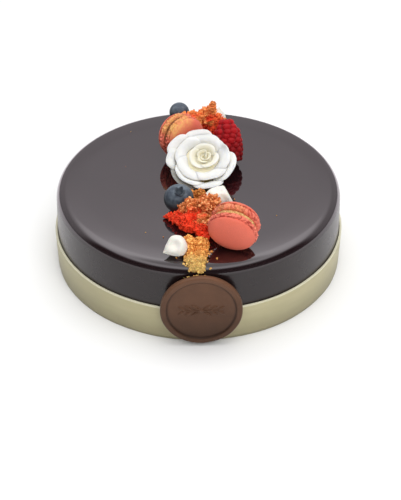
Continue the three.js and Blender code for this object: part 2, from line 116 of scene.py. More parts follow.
MERINGUE_AXES = {
    "meringue_left": (-0.888, -0.3, -0.35),
    "meringue_right": (-0.87, -0.24, -0.42),
    "meringue_back": (0.1, 0.1, 1),
}
HOLLOW_SIDE = np.array((-0.4, -0.73, 0.55))

# The rose's petals from the heart outwards: their turns and how far their edges lean in degrees, their sizes
# in millimetres, and how far each ring follows the heart to the side. The outer petals are all unlike.
ROSE_PETALS = (
    {"turns": (30, 200), "throat": 0.9, "rise": 17, "half": 1.7, "lip": 1.5, "edge": 60, "follow": 1},
    {"turns": (110, 235, 350), "throat": 2.7, "rise": 17.2, "half": 1.2, "lip": 2.1, "edge": 80, "follow": 1},
    {"turns": (80, 200, 320), "throat": 5.5, "rise": 17.1, "half": 1.35, "lip": 4.4, "edge": 98, "follow": 1},
    {
        "turns": (5, 78, 150, 222, 295), "throat": 10.2, "rise": 17.5, "half": 0.95, "lip": 8.4,
        "edge": 104, "follow": 0.66,
    },
    {"turns": (26,), "throat": 13, "rise": 17, "half": 0.66, "lip": 5.7, "straight": 0.15},
    {"turns": (98,), "throat": 15.4, "rise": 17.2, "half": 0.6, "lip": 7.4},
    {"turns": (145,), "throat": 17, "rise": 16.8, "half": 0.52, "lip": 8},
    {"turns": (176,), "throat": 16.6, "rise": 16.4, "half": 0.42, "lip": 7.3},
    # This low petal has painted shade: its colour is darkened to 0.42.
    {"turns": (221,), "throat": 17.6, "rise": 13.4, "half": 0.66, "lip": 5.6, "shade": 0.42},
    {"turns": (235,), "throat": 15.6, "rise": 17, "half": 0.75, "lip": 5.6},
    {"turns": (280,), "throat": 17, "rise": 16.8, "half": 0.6, "lip": 6.6},
    {"turns": (341,), "throat": 15.8, "rise": 16.6, "half": 0.76, "lip": 7.2},
)
OUTER_EDGE = 100

# The photograph's camera: where it stands, what it looks at, and its lens
CAMERA_EYE = Vector((1.44, -563.8, 431.1)) * MM
CAMERA_TARGET = Vector((1.44, -6, 0)) * MM
CAMERA_LENS = 71.06

# The studio's light: how bright the dome is at each height, behind the cake and before it
DOME_STRENGTH = 2.64
SKY_BEHIND = (
    (0, 0.12), (0.17, 0.15), (0.34, 0.18), (0.5, 0.2), (0.56, 0.26), (0.63, 0.36),
    (0.7, 0.57), (0.8, 0.72), (0.9, 0.8), (0.96, 0.5), (1, 0.3),
)
SKY_BEFORE = (
    (0, 0.06), (0.14, 0.03), (0.32, 0.012), (0.56, 0.015), (0.65, 0.08),
    (0.74, 0.46), (0.82, 0.58), (0.88, 0.5), (0.94, 0.32), (1, 0.3),
)
PANELS = (
    {"name": "front_fill", "power": 12, "place": (0.5, -1.4, 0.9)},
    {"name": "top_fill", "power": 10, "place": (0.2, -0.1, 2)},
)
PANEL_SIZE = 1.2


def srgb(red, green, blue):
    """A linear colour from the values, 0 to 255, that a screen shows."""
    shown = np.array((red, green, blue)) / 255
    return np.where(shown <= 0.04045, shown / 12.92, ((shown + 0.055) / 1.055) ** 2.4)


# Node trees

class Socket:
    """A node's output, whose arithmetic adds Math nodes to its tree."""

    def __init__(self, tree, output):
        self.tree = tree
        self.output = output

    def math(self, operation, first, second):
        return self.tree.node("Math", {"operation": operation}, {0: first, 1: second})

    def __add__(self, other):
        return self.math("ADD", self, other)

    def __rsub__(self, other):
        return self.math("SUBTRACT", other, self)

    def __mul__(self, other):
        return self.math("MULTIPLY", self, other)

    __radd__ = __add__
    __rmul__ = __mul__

    def between(self, low, high):
        """0 below low, 1 above high, and a soft step from one to the other."""
        settings = {"interpolation_type": "SMOOTHSTEP"}
        return self.tree.node("MapRange", settings, {"Value": self, "From Min": low, "From Max": high})


class Tree:
    """A node tree that one method fills."""

    def __init__(self, tree):
        self.tree = tree

    def node(self, kind, settings=None, sockets=None, output=0):
        """Adds a node: its settings first, then the values or links of its sockets."""
        node = self.tree.nodes.new("ShaderNode" + kind)
        for name, value in (settings or {}).items():
            if name == "stops":
                self.set_stops(node.color_ramp.elements, value)
            else:
                setattr(node, name, value)
        for name, value in (sockets or {}).items():
            self.feed(self.find(node.inputs, name), value)
        return Socket(self, self.find(node.outputs, output))

    def find(self, sockets, name):
        """A socket by its place, its identifier or its name."""
        if isinstance(name, int):
            return sockets[name]
        by_identifier = [s for s in sockets if s.identifier == name]
        return by_identifier[0] if by_identifier else sockets[name]

    def feed(self, socket, value):
        if isinstance(value, Socket):
            self.tree.links.new(value.output, socket)
            return
        if socket.type == "RGBA":
            value = (*value, 1)
        socket.default_value = value

    def set_stops(self, elements, stops):
        while len(elements) < len(stops):
            elements.new(1)
        for element, (place, level) in zip(elements, stops):
            element.position = place
            element.color = (level, level, level, 1)


class Finish(Tree):
    """A material on one Principled shader, in the coordinates of its object."""

    def __init__(self, name, constants):
        self.material = bpy.data.materials.new(name)
        self.material.use_nodes = True
        super().__init__(self.material.node_tree)
        self.shader = self.tree.nodes["Principled BSDF"]
        self.at = self.node("TexCoord", output="Object")
        for socket, value in constants.items():
            self.set(socket, value)

    def set(self, socket, value):
        self.feed(self.shader.inputs[socket], value)

    def noise(self, size, detail=2, at=None):
        """Noise from 0 to 1 whose patches are about the given size."""
        sockets = {"Vector": at or self.at, "Scale": 1 / size, "Detail": detail}
        return self.node("TexNoise", None, sockets, "Fac")

    def stretched(self, x, y, z):
        """The object's coordinates, with each axis scaled."""
        return self.node("VectorMath", {"operation": "MULTIPLY"}, {0: self.at, 1: (x, y, z)})

    def height(self):
        return self.node("SeparateXYZ", None, {"Vector": self.at}, "Z")

    def shaded_tint(self, share, dark, light):
        """The colour that was laid on the mesh point by point, times a shade from dark to light."""
        tint = self.node("Attribute", {"attribute_name": "tint"}, output="Color")
        return self.mix(1.0, tint, self.mix(share, dark, light), "MULTIPLY")

    def mix(self, share, first, second, kind="MIX"):
        settings = {"data_type": "RGBA", "blend_type": kind}
        sockets = {"Factor_Float": share, "A_Color": first, "B_Color": second}
        return self.node("Mix", settings, sockets, "Result_Color")

    def bump(self, height, distance, strength=1.0):
        """Feeds a height to the shader's normal."""
        sockets = {"Height": height, "Distance": distance, "Strength": strength}
        self.set("Normal", self.node("Bump", None, sockets))


# Finishes

def glaze_finish():
    """A mirror coat, thick on the top and thinner down the side."""
    coat = {"Coat IOR": 1.75, "Coat Roughness": 0.02, "Coat Tint": (1, 0.84, 0.97)}
    finish = Finish("chocolate_glaze", {"IOR": 1.45, **coat})
    patches = finish.noise(35 * MM)
    on_top = finish.height().between(CAKE_HEIGHT - SHOULDER, CAKE_HEIGHT - 0.4 * SHOULDER)
    finish.set("Coat Weight", 0.1 + 0.9 * on_top)
    finish.set("Base Color", finish.mix(patches, srgb(24, 15, 16), srgb(31, 20, 20)))
    finish.set("Roughness", 0.05 + 0.2 * (1 - on_top) + 0.06 * finish.noise(9 * MM))
    finish.bump(finish.noise(26 * MM, detail=1), 0.25 * MM, 0.3)
    return finish


def band_finish():
    finish = Finish("pale_chocolate_band", {"IOR": 1.46})
    streaks = finish.noise(20 * MM, detail=4, at=finish.stretched(1, 1, 5))
    cloud = finish.noise(12 * MM, detail=3)
    height = finish.height()
    # Painted shade: the band is mixed darker towards its foot.
    up = height.between(0, 0.9 * BAND_HEIGHT)
    tone = finish.mix(streaks, srgb(170, 162, 124), srgb(186, 178, 139))
    shaded = finish.mix(0.8 * (1 - up), tone, srgb(134, 126, 96))
    pale = finish.mix(0.2 * cloud, shaded, srgb(204, 198, 168))
    # Painted highlight: the band's top edge is mixed lighter, as if lit from above.
    lip = height.between(BAND_HEIGHT - MM, BAND_HEIGHT)
    finish.set("Base Color", finish.mix(0.8 * lip, pale, srgb(226, 222, 198)))
    finish.set("Roughness", 0.36 + 0.16 * cloud)
    finish.bump(streaks + 0.4 * finish.noise(2.5 * MM), 0.2 * MM, 0.35)
    return finish


def medallion_finish():
    finish = Finish("moulded_chocolate", {"IOR": 1.32})
    cloud = finish.noise(9 * MM, detail=3)
    fine = finish.noise(0.8 * MM, detail=3)
    tone = finish.shaded_tint(cloud.between(0.3, 0.75), (0.92, 0.92, 0.92), (1.1, 1.1, 1.1))
    finish.set("Base Color", finish.mix(0.22 * fine.between(0.6, 0.78), tone, srgb(120, 92, 74)))
    finish.set("Roughness", 0.34 + 0.2 * cloud)
    finish.bump(fine, 0.06 * MM, 0.4)
    return finish


def macaron_finish():
    finish = Finish("macaron_shell", {"IOR": 1.4, "Subsurface Weight": 0.08, "Subsurface Scale": 1 * MM})
    speck = finish.noise(0.5 * MM, detail=3)
    cloud = finish.noise(6 * MM, detail=3)
    tone = finish.shaded_tint(speck.between(0.3, 0.75), (0.92, 0.92, 0.92), (1.05, 1.05, 1.05))
    finish.set("Base Color", finish.mix(0.2 * cloud, tone, srgb(240, 134, 110)))
    finish.set("Roughness", 0.5 + 0.2 * cloud)
    finish.bump(speck + 0.6 * cloud, 0.1 * MM, 0.4)
    return finish


def cream_finish(name, shade, light):
    finish = Finish(name, {"IOR": 1.45})
    grit = finish.noise(0.9 * MM, detail=4)
    finish.set("Base Color", finish.mix(grit.between(0.3, 0.7), shade, light))
    finish.set("Roughness", 0.55 + 0.2 * grit)
    finish.bump(grit, 0.25 * MM, 0.6)
    return finish


def sugar_finish():
    glow = {"Subsurface Weight": 0.5, "Subsurface Scale": 3 * MM, "Subsurface Radius": (1, 0.85, 0.6)}
    finish = Finish("sugar_paste", {"IOR": 1.45, **glow})
    veins = finish.noise(2.5 * MM, detail=4)
    finish.set("Base Color", finish.shaded_tint(veins, (0.97, 0.97, 0.96), (1.02, 1.02, 1.02)))
    finish.set("Roughness", 0.45 + 0.15 * veins)
    finish.bump(veins, 0.15 * MM, 0.25)
    return finish


def meringue_finish():
    finish = Finish("dry_meringue", {"IOR": 1.4, "Subsurface Weight": 0.1, "Subsurface Scale": 1 * MM})
    dust = finish.noise(0.6 * MM, detail=4)
    finish.set("Base Color", finish.mix(dust, srgb(224, 220, 210), srgb(240, 238, 230)))
    finish.set("Roughness", 0.65 + 0.2 * dust)
    finish.bump(dust + finish.noise(3 * MM), 0.2 * MM, 0.35)
    return finish


def raspberry_finish():
    finish = Finish("raspberry_skin", {"IOR": 1.3, "Subsurface Weight": 0.12, "Subsurface Scale": 1.2 * MM})
    mottle = finish.noise(1.6 * MM, detail=3)
    finish.set("Base Color", finish.shaded_tint(mottle, (0.8, 0.75, 0.8), (1.15, 1.1, 1.1)))
    finish.set("Roughness", 0.42 + 0.22 * mottle)
    finish.bump(finish.noise(0.7 * MM, detail=2), 0.1 * MM, 0.35)
    return finish


def blueberry_finish():
    finish = Finish("blueberry_skin", {"IOR": 1.42})
    bloom = finish.noise(3.4 * MM, detail=5).between(0.3, 0.72)
    finish.set("Base Color", finish.shaded_tint(0.6 * bloom, srgb(62, 70, 84), srgb(128, 140, 150)))
    finish.set("Roughness", 0.34 + 0.32 * bloom)
    finish.bump(finish.noise(0.8 * MM, detail=3), 0.08 * MM, 0.4)
    return finish


def crumb_finish(name, roughness):
    """Baked crumb: the grains' own colours, toasted in patches."""
    finish = Finish(name, {"IOR": 1.4, "Subsurface Weight": 0.15, "Subsurface Scale": 0.8 * MM})
    toast = finish.noise(0.8 * MM, detail=4)
    tone = finish.shaded_tint(toast.between(0.25, 0.75), (0.72, 0.66, 0.6), (1.12, 1.12, 1.1))
    finish.set("Base Color", tone)
    finish.set("Roughness", roughness + 0.12 * toast)
    finish.bump(toast, 0.2 * MM, 0.6)
    return finish


def floor_finish():
    finish = Finish("pale_floor", {"Roughness": 0.7})
    cloud = finish.noise(400 * MM)
    finish.set("Base Color", finish.mix(cloud, (0.86, 0.86, 0.86), (0.88, 0.88, 0.88)))
    return finish


# Shapes as arrays

def grain(points, size, seed):
    """Smooth noise from -1 to 1 whose lumps are about the given size."""
    table = np.random.default_rng(seed).uniform(-1, 1, 4096)
    cell = np.floor(points / size).astype(np.int64)
    inside = points / size - cell
    inside = inside * inside * (3 - 2 * inside)
    spread = np.array((73856093, 19349663, 83492791))
    total = np.zeros(len(points))
    for corner in itertools.product((0, 1), repeat=3):
        picked = np.bitwise_xor.reduce((cell + corner) * spread, axis=1) % len(table)
        weight = np.where(corner, inside, 1 - inside).prod(axis=1)
        total += weight * table[picked]
    return total


def billow(points, size, seed):
    """Rounded lumps of about the given size, from 0 in the sharp creases between them to 1."""
    return np.sqrt(np.abs(grain(points, size, seed)))


def step(values, low, high):
    """0 below low, 1 above high, and a soft step from one to the other."""
    t = np.clip((values - low) / (high - low), 0, 1)
    return t * t * (3 - 2 * t)


def blended(share, first, second):
    """Colours from first to second, one for each share."""
    share = np.asarray(share)[:, None]
    return (1 - share) * np.asarray(first) + share * np.asarray(second)


def arc(centre_radius, centre_height, radius, start, stop, steps):
    """Profile points on an arc, with angles in degrees up from the outward direction."""
    angles = np.radians(np.linspace(start, stop, steps + 1))
    return np.stack([centre_radius + radius * np.cos(angles), centre_height + radius * np.sin(angles)], 1)


def line(first, last, steps):
    """Profile points along a line, without its last one."""
    return np.linspace(first, last, steps, endpoint=False)


def turned(profile, angles):
    """The points of a profile at each angle about the Z axis."""
    out, up = profile.T
    places = [np.outer(np.cos(angles), out), np.outer(np.sin(angles), out), np.tile(up, (len(angles), 1))]
    return np.stack(places, axis=-1)


def revolved(profile, segments):
    """A turned shape. Its profile runs from the middle of the foot to the middle of the top."""
    profile = np.asarray(profile)
    rings = profile[1:-1]
    angles = np.linspace(0, 2 * np.pi, segments, endpoint=False)
    ring_points = turned(rings, angles).swapaxes(0, 1).reshape(-1, 3)
    points = np.vstack([ring_points, (0, 0, profile[0, 1]), (0, 0, profile[-1, 1])])
    cells = np.arange(len(ring_points)).reshape(len(rings), segments)
    onward = np.roll(cells, -1, axis=1)
    faces = np.stack([cells[:-1], onward[:-1], onward[1:], cells[1:]], -1).reshape(-1, 4).tolist()
    foot, top = len(points) - 2, len(points) - 1
    faces += [[foot, j, i] for i, j in zip(cells[0].tolist(), onward[0].tolist())]
    faces += [[top, i, j] for i, j in zip(cells[-1].tolist(), onward[-1].tolist())]
    return points, faces


def sheet(surface, thickness, across, along):
    """A thin closed shape round a surface of u from -1 to 1 and v from 0 to 1, with a rounded rim."""
    quarter = np.pi / 2
    u, v = np.meshgrid(np.sin(np.linspace(-quarter, quarter, across)), np.sin(np.linspace(0, quarter, along)))
    middle = surface(u, v)
    normals = np.cross(np.gradient(middle, axis=1), np.gradient(middle, axis=0))
    normals /= np.linalg.norm(normals, axis=2, keepdims=True) + 1e-12
    edge = np.maximum(np.abs(u), v)
    half = 0.5 * thickness * np.sqrt(np.clip(1.04 - edge ** 8, 0.04, 1))[..., None]
    count = across * along
    points = np.vstack([(middle - half * normals).reshape(-1, 3), (middle + half * normals).reshape(-1, 3)])
    cells = np.arange(count).reshape(along, across)
    a, b, c, d = cells[:-1, :-1], cells[:-1, 1:], cells[1:, 1:], cells[1:, :-1]
    back = np.stack([a, d, c, b], -1).reshape(-1, 4)
    front = np.stack([a, b, c, d], -1).reshape(-1, 4) + count
    border = np.concatenate([cells[0, :-1], cells[:-1, -1], cells[-1, :0:-1], cells[:0:-1, 0]])
    ahead = np.roll(border, -1)
    rim = np.stack([border, ahead, ahead + count, border + count], 1)
    return points, np.vstack([back, front, rim]).tolist(), np.tile(v.ravel(), 2)


def joined(shapes):
    """One set of points and faces from several."""
    points = np.vstack([shape[0] for shape in shapes])
    starts = np.cumsum([0] + [len(shape[0]) for shape in shapes[:-1]])
    faces = [[start + i for i in face] for start, shape in zip(starts.tolist(), shapes) for face in shape[1]]
    return points, faces


def towards(axis):
    """The turn that brings +Z to an axis."""
    return np.array(Vector((0, 0, 1)).rotation_difference(Vector(axis).normalized()).to_matrix())


def seated(points, turn, node):
    """Points turned, then moved so that their box is centred on a node's box."""
    facing = points @ np.asarray(turn).T
    middle = (facing.min(0) + facing.max(0)) / 2
    low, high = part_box(node)
    return facing - middle + np.array((low + high) / 2)


def gathered(items, name, kind=float):
    """One property of a mesh's items, three numbers for each."""
    values = np.empty(3 * len(items), kind)
    items.foreach_get(name, values)
    return values.reshape(-1, 3)


def node_points(node):
    return gathered(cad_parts[node].data.vertices, "co")


def scattered(points, triangles, count, random):
    """Spots spread evenly by area over triangles, with the normal at each."""
    a, b, c = (points[triangles[:, i]] for i in range(3))
    cross = np.cross(b - a, c - a)
    area = np.linalg.norm(cross, axis=1)
    picked = random.choice(len(triangles), count, p=area / area.sum())
    r, s = np.sqrt(random.random(count)), random.random(count)
    weights = np.stack([1 - r, r * (1 - s), r * s], 1)
    spots = weights[:, :1] * a[picked] + weights[:, 1:2] * b[picked] + weights[:, 2:] * c[picked]
    return spots, cross[picked] / area[picked, None]


def icosahedron():
    """Corners and faces of a regular solid of twenty triangles, one unit in radius."""
    solid = bmesh.new()
    bmesh.ops.create_icosphere(solid, subdivisions=1, radius=1)
    corners = np.array([vertex.co for vertex in solid.verts])
    faces = np.array([[vertex.index for vertex in face.verts] for face in solid.faces])
    solid.free()
    return corners, faces


def grains_at(spots, sizes, stretch, random):
    """Irregular grains, one at each spot, joined into one set of points and triangles."""
    corners, faces = icosahedron()
    count = len(spots)
    jitter = 1 + 0.3 * random.uniform(-1, 1, (count, len(corners), 1))
    drawn_out = random.uniform(*stretch, (count, 1, 3))
    turn, _ = np.linalg.qr(random.normal(size=(count, 3, 3)))
    turn *= np.sign(np.linalg.det(turn))[:, None, None]
    local = corners * jitter * drawn_out * np.asarray(sizes)[:, None, None]
    points = np.einsum("nij,nkj->nki", turn, local) + spots[:, None, :]
    indices = faces + len(corners) * np.arange(count)[:, None, None]
    return points.reshape(-1, 3), indices.reshape(-1, 3), len(corners)


def add_object(name, data):
    added = bpy.data.objects.new(name, data)
    bpy.context.scene.collection.objects.link(added)
    return added


def make_piece(name, shape, finish, nodes=(), tint=None, smooth=True):
    """A mesh object that rides with the cake and stands for the nodes it replaces."""
    points, faces = shape
    mesh = bpy.data.meshes.new(name)
    mesh.from_pydata(np.asarray(points).tolist(), [], faces if isinstance(faces, list) else faces.tolist())
    mesh.polygons.foreach_set("use_smooth", np.full(len(mesh.polygons), smooth))
    if tint is not None:
        colours = np.ones((len(points), 4), np.float32)
        colours[:, :3] = tint
        layer = mesh.color_attributes.new("tint", "FLOAT_COLOR", "POINT")
        layer.data.foreach_set("color", colours.ravel())
    mesh.materials.append(finish.material)
    mesh.update()
    piece = add_object(name, mesh)
    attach(piece, "root")
    if nodes:
        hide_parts(*nodes)


# The cake, its band and its medallion

def glazed_cake():
    """The glaze droops a little towards its rim, and its side runs out to the band."""
    foot_radius = BAND_RADIUS - BAND_THICKNESS - BAND_GAP
    rim_angle = 90 - math.degrees(RIM_SLOPE)
    shoulder_height = CAKE_HEIGHT - RIM_DROOP - SHOULDER * math.cos(RIM_SLOPE)
    shoulder = arc(TOP_RADIUS - SHOULDER, shoulder_height, SHOULDER, 0, rim_angle, 28)
    level = line((shoulder[-1, 0], CAKE_HEIGHT), (0, CAKE_HEIGHT), 70)[1:]
    fall = np.clip((level[:, 0] - LEVEL_RADIUS) / (shoulder[-1, 0] - LEVEL_RADIUS), 0, 1)
    level[:, 1] -= RIM_DROOP * fall ** 2
    profile = np.vstack([
        line((0, 0), (foot_radius - BASE_BEVEL, 0), 12),
        line((foot_radius - BASE_BEVEL, 0), (foot_radius, BASE_BEVEL), 3),
        line((foot_radius, BASE_BEVEL), (foot_radius, BAND_HEIGHT), 12),
        line((foot_radius, BAND_HEIGHT), (TOP_RADIUS, shoulder_height), 28),
        shoulder,
        level,
        [(0, CAKE_HEIGHT)],
    ])
    points, faces = revolved(profile, segments=288)
    skin = step(points[:, 2], 0.5 * CAKE_HEIGHT, 0.9 * CAKE_HEIGHT)
    points[:, 2] += 0.08 * MM * skin * grain(points, 40 * MM, 3)
    make_piece("glazed_cake", (points, faces), glaze_finish(), ["cake"])


def band_ring(profile, angles, closed):
    """A profile, closed on itself, swept round the cake's axis through the angles."""
    points = turned(profile, angles).reshape(-1, 3)
    cells = np.arange(len(points)).reshape(len(angles), -1)
    ahead = np.roll(cells, -1, axis=0) if closed else cells[1:]
    here = cells if closed else cells[:-1]
    up = np.roll(here, -1, axis=1)
    up_ahead = np.roll(ahead, -1, axis=1)
    faces = np.stack([here, ahead, up_ahead, up], -1).reshape(-1, 4).tolist()
    if not closed:
        faces += [cells[0].tolist(), cells[-1][::-1].tolist()]
    return points, faces


def band_profile(inside, outside):
    """A strip's section, with the edges of its top rounded, from the foot outwards and up."""
    wall = BAND_HEIGHT - BAND_EDGE
    return np.vstack([
        [(inside, 0)],
        line((outside, 0), (outside, wall), 10),
        arc(outside - BAND_EDGE, wall, BAND_EDGE, 0, 90, 5),
        arc(inside + BAND_EDGE, wall, BAND_EDGE, 90, 180, 5),
        line((inside, wall), (inside, 0), 4)[1:],
    ])


def pale_band():
    """A ring round the foot whose doubled end shows at the back."""
    around = np.linspace(0, 2 * np.pi, 360, endpoint=False)
    ring = band_ring(band_profile(BAND_RADIUS - BAND_THICKNESS, BAND_RADIUS), around, True)
    half = BAND_OVERLAP / BAND_RADIUS / 2
    lap_angles = np.pi / 2 + half * np.sin(np.linspace(-np.pi / 2, np.pi / 2, 20))
    lap_profile = band_profile(BAND_RADIUS - BAND_THICKNESS / 4, BAND_RADIUS + OVERLAP_THICKNESS)
    lap = band_ring(lap_profile, lap_angles, False)
    points, faces = joined([ring, lap])
    bow = 0.15 * MM * grain(points, 22 * MM, 5)
    points[:, :2] *= 1 + (bow / BAND_RADIUS)[:, None]
    lip = step(points[:, 2], 0.8 * BAND_HEIGHT, BAND_HEIGHT)
    points[:, 2] += 0.25 * MM * lip * grain(points, 15 * MM, 7)
    make_piece("pale_band", (points, faces), band_finish(), ["side_band"])


def sprig_relief(x, y):
    """How far the sprig stands out of the medallion's field: leaves in pairs on a stem, and a bead."""
    height = step(-np.hypot(x, y), -1.6 * MM, -0.9 * MM)
    x = np.abs(x)
    stem = step(-np.abs(y), -0.55 * MM, -0.25 * MM) * step(-x, -2.2 * SPRIG_SPACING, -2 * SPRIG_SPACING)
    height = np.maximum(height, stem)
    for row, lean in itertools.product(range(3), (-1, 1)):
        length = SPRIG_LEAF_LENGTH - row * MM
        angle = lean * np.pi / 5
        from_stem = x - 0.5 * MM - row * SPRIG_SPACING
        along = (from_stem * np.cos(angle) + y * np.sin(angle)) / length
        across = (y * np.cos(angle) - from_stem * np.sin(angle)) / SPRIG_LEAF_WIDTH
        half_width = np.clip(2 * along * (1 - along), 0, 1)
        blade = step(half_width - np.abs(across), 0, 0.22)
        midrib = 1 - 0.35 * step(-np.abs(across), -0.12, 0)
        height = np.maximum(height, blade * midrib)
    return SPRIG_RELIEF * height


def moulded_medallion():
    """A disc with a rounded rim and a sprig in its field, with painted shade darker in the groove and towards
    its foot, and painted light on the rim towards its top.
    """
    field = MEDALLION_THICKNESS - MEDALLION_FIELD_DEPTH
    inner_rim = MEDALLION_RADIUS - MEDALLION_RIM
    outer_flat = MEDALLION_RADIUS - MEDALLION_EDGE
    inner_flat = inner_rim + MEDALLION_EDGE
    crown = MEDALLION_THICKNESS - MEDALLION_EDGE
    profile = np.vstack([
        line((0, 0), (outer_flat, 0), 4),
        arc(outer_flat, MEDALLION_EDGE, MEDALLION_EDGE, -90, 0, 5),
        arc(outer_flat, crown, MEDALLION_EDGE, 0, 90, 6),
        arc(inner_flat, crown, MEDALLION_EDGE, 90, 140, 5),
        line((inner_rim, field + 0.05 * MM), (0.2 * MM, field), 70),
        [(0, field)],
    ])
    points, faces = revolved(profile, segments=220)
    radius = np.hypot(points[:, 0], points[:, 1])
    on_front = points[:, 2] > 0.6 * field
    rim_share = on_front * step(radius, inner_rim - MEDALLION_EDGE, inner_flat)
    points[:, 2] += 0.18 * MM * rim_share * grain(points, 6 * MM, 11)
    points[:, :2] *= 1 + (0.2 * MM * grain(points, 9 * MM, 13) / MEDALLION_RADIUS)[:, None]
    in_field = on_front & (radius < inner_rim - MEDALLION_EDGE)
    points[:, 2] += in_field * sprig_relief(points[:, 0], points[:, 1])
    points[:, 2] += in_field * 0.05 * MM * grain(points, 5 * MM, 17)
    # Painted shade in the groove inside the rim. Painted light and shade from top to foot: lighter towards
    # the top, darker towards the foot.
    painted_groove_shade = on_front * np.exp(-(((radius - inner_rim) / (0.7 * MM)) ** 2))
    upward = points[:, 1] / MEDALLION_RADIUS
    field_shade = 0.86 + np.minimum(0.2 * upward, 0.5 * upward)
    rim_shade = 0.8 + 0.3 * upward + 0.15 * upward ** 2
    shade = (1 - 0.5 * painted_groove_shade) * (field_shade + rim_share * (rim_shade - field_shade))
    tint = shade[:, None] * srgb(96, 66, 48)
    turn = Matrix.Rotation(MEDALLION_TURN, 3, "Z") @ Matrix.Rotation(math.pi / 2 - MEDALLION_LEAN, 3, "X")
    placed = seated(points, turn, "medallion")
    finish = medallion_finish()
    make_piece("moulded_medallion", (placed, faces), finish, ["medallion"], tint)


# The macarons

def macaron_shell(seed):
    """One shell, its foot on z = 0, with how deep each point lies in the foot's frills and in pits by the
    crease, which take painted shade, and where its foot is.
    """
    wall = MACARON_RADIUS - 0.6 * MM
    crease = MACARON_FOOT + 0.1 * MM
    turn = np.linspace(0, np.pi / 2, 30)
    dome_height = crease + 0.4 * MM + (MACARON_DOME - 0.5 * MM) * np.sin(turn)
    dome = np.stack([wall * np.cos(turn) ** 0.62, dome_height], 1)
    dome[-1, 0] = 0
    profile = np.vstack([
        line((0, 0), (MACARON_RADIUS - MACARON_FOOT, 0), 6),
        arc(MACARON_RADIUS - MACARON_FOOT / 2, MACARON_FOOT / 2, MACARON_FOOT / 2, -90, 90, 20),
        [(wall - 0.9 * MM, crease)],
        dome,
    ])
    points, faces = revolved(profile, segments=260)
    radius = np.hypot(points[:, 0], points[:, 1])
    outside = step(radius, wall - 2 * MM, wall - MM)
    on_foot = outside * step(-points[:, 2], -crease - 0.1 * MM, -crease + 0.3 * MM)
    frill = 0.65 * billow(points, 1.8 * MM, seed) + 0.35 * billow(points, 0.9 * MM, seed + 1)
    points[:, :2] *= 1 + (2.3 * MM * on_foot * (frill - 0.55) / MACARON_RADIUS)[:, None]
    points[:, 2] += 0.4 * MM * on_foot * grain(points, 1.5 * MM, seed + 2) * step(points[:, 2], 0, MM)
    skin = step(points[:, 2], crease, crease + MM)
    points[:, 2] += 0.06 * MM * skin * grain(points, 4 * MM, seed + 3)
    # Painted shade: dark pits by the crease, in colour only, and the frills' hollows.
    by_crease = step(-np.abs(points[:, 2] - crease), -1.2 * MM, -0.3 * MM)
    painted_pit_shade = by_crease * step(grain(points, 1.4 * MM, seed + 4), -0.15, 0.25)
    hollow = np.maximum(on_foot * step(-frill, -0.6, -0.35), painted_pit_shade * outside)
    return points, faces, hollow, on_foot


def macaron_tint(points, middle, axis, hollow, on_foot, dust, reach, seed):
    """Coral shells, with painted shade deep red in the frills' hollows and the pits by the crease, and gold
    dust brushed over the top of the rim.
    """
    colours = blended(0.6 * on_foot, srgb(224, 108, 87), srgb(244, 138, 116))
    # Painted shade: the frills' hollows and the crease pits are mixed deep red.
    colours = blended(0.9 * hollow, colours, srgb(158, 34, 26))
    from_middle = points - middle
    along = from_middle @ axis
    radial = from_middle - np.outer(along, axis)
    upward = radial @ GOLD_BRUSH / (np.linalg.norm(radial, axis=1) + 1e-9)
    covered = np.abs(along) / np.where(along > 0, *reach)
    brushed = step(upward, 0.55, 0.95) * step(-covered, -1, -0.7)
    streak = step(grain(points, 1.1 * MM, seed) + 0.6 * grain(points, 3 * MM, seed + 1), -0.6, 0.4)
    return blended(dust * brushed * (0.45 + 0.55 * streak), colours, srgb(230, 180, 102))


def macaron(name, finish, cream, seed, dust, reach):
    """Two shells and their filling, with gold dust as far as it reaches on the near and far shell."""
    near, far, filling = (f"{name}_{part}" for part in ("near_shell", "far_shell", "filling"))
    axis = node_points(near).mean(0) - node_points(far).mean(0)
    axis /= np.linalg.norm(axis)
    low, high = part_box(filling)
    middle = np.array((low + high) / 2)
    for node, way in ((near, axis), (far, -axis)):
        points, faces, hollow, on_foot = macaron_shell(seed)
        seed += 10
        placed = (points + (0, 0, MACARON_FILLING / 2)) @ towards(way).T + middle
        tint = macaron_tint(placed, middle, axis, hollow, on_foot, dust, reach, seed)
        make_piece(f"{node}_baked", (placed, faces), finish, [node], tint)
    half = MACARON_FILLING / 2
    rim = MACARON_RADIUS - 1.6 * MM
    profile = np.vstack([[(0, -half)], arc(rim - half, 0, half, -90, 90, 10), [(0, half)]])
    points, faces = revolved(profile, segments=160)
    points[:, :2] *= 1 + (0.5 * MM * grain(points, 2.2 * MM, seed) / MACARON_RADIUS)[:, None]
    placed = points @ towards(axis).T + middle
    make_piece(f"{filling}_cream", (placed, faces), cream, [filling])


# The sugar rose

def petal(turn, throat, rise, half_angle, lip, edge, straight, wave):
    """One petal: a wall up to its throat, then a lip that leans out to its edge and narrows to its ends."""
    whole = math.cos(LIP_LEAN) - math.cos(edge)
    foot = min(throat, PETAL_FOOT_RADIUS)
    throat_height = rise - lip * (math.sin(edge) - math.sin(LIP_LEAN)) / whole

    def surface(u, v):
        wall = np.clip(v / LIP_START, 0, 1)
        lean = LIP_LEAN + (edge - LIP_LEAN) * np.clip((v - LIP_START) / (1 - LIP_START), 0, 1)
        width = lip * (1 - 0.65 * u ** 4) / whole
        angle = turn + u * half_angle * (0.5 + 0.5 * np.sin(v * np.pi / 2))
        radius = foot + (throat - foot) * np.sqrt(wall) + width * (math.cos(LIP_LEAN) - np.cos(lean))
        radius = radius * (1 + straight * u ** 2 * v) + PETAL_LAP * u * v
        climb = PETAL_FOOT_HEIGHT + (throat_height - PETAL_FOOT_HEIGHT) * wall ** 1.2
        z = climb + width * (np.sin(lean) - math.sin(LIP_LEAN))
        z = z + v * (wave * np.cos(3 * u + turn) - PETAL_LAP * u)
        return np.stack([radius * np.cos(angle), radius * np.sin(angle), z], -1)

    return sheet(surface, PETAL_THICKNESS, across=41, along=37)


